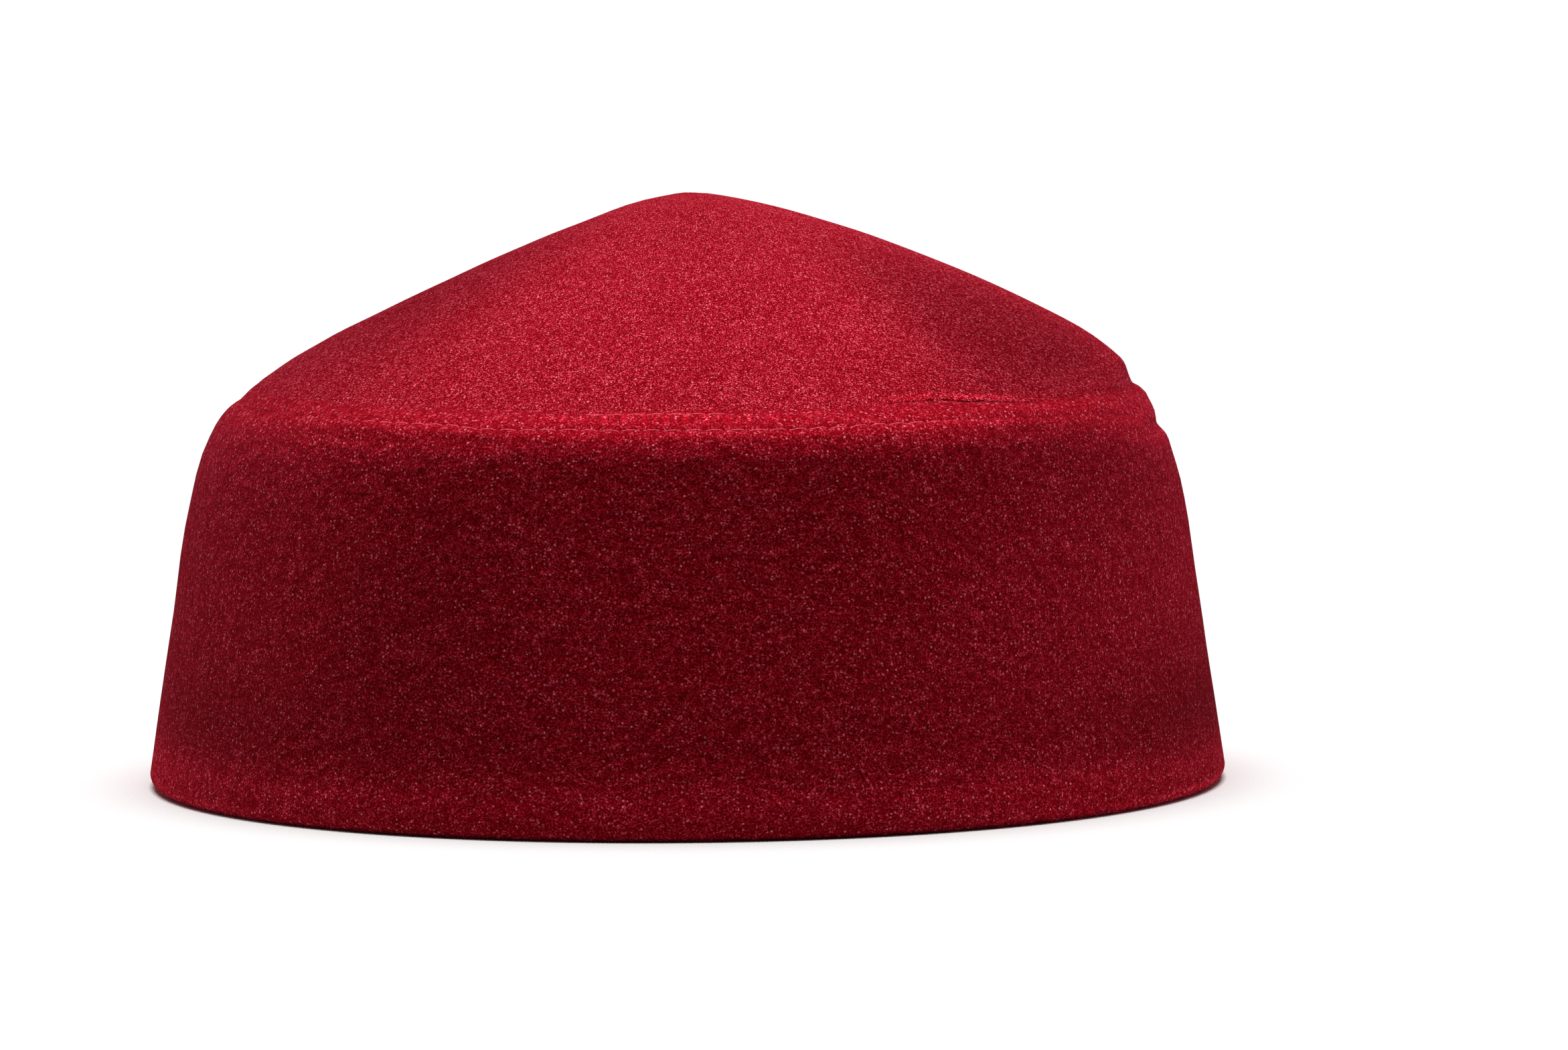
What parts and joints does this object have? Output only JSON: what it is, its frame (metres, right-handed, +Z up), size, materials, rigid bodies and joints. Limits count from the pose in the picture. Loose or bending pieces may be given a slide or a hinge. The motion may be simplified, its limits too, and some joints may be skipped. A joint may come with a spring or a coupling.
{
  "type": "low fez cap of wool felt",
  "caption": "Low brimless felt fez cap with a tapered side band, a turned-up hem and a pointed conical crown sewn in at the shoulder.",
  "frame": {"origin": "centre of the flat ring under the lower edge, on the surface that the cap stands on", "axes": "+Z up through the crown's point, front towards -Y, +X to the right as seen from the front"},
  "size_m": [0.1902, 0.1902, 0.104],
  "materials": {
    "band_felt": "matt pressed wool felt with a short bright nap",
    "crown_felt": "matt pressed wool felt with a short bright nap",
    "stitching": "twisted sewing thread with a low sheen"
  },
  "bodies": {
    "root": {"side_band": "band_felt", "crown_tip": "crown_felt"}
  },
  "joints": []
}
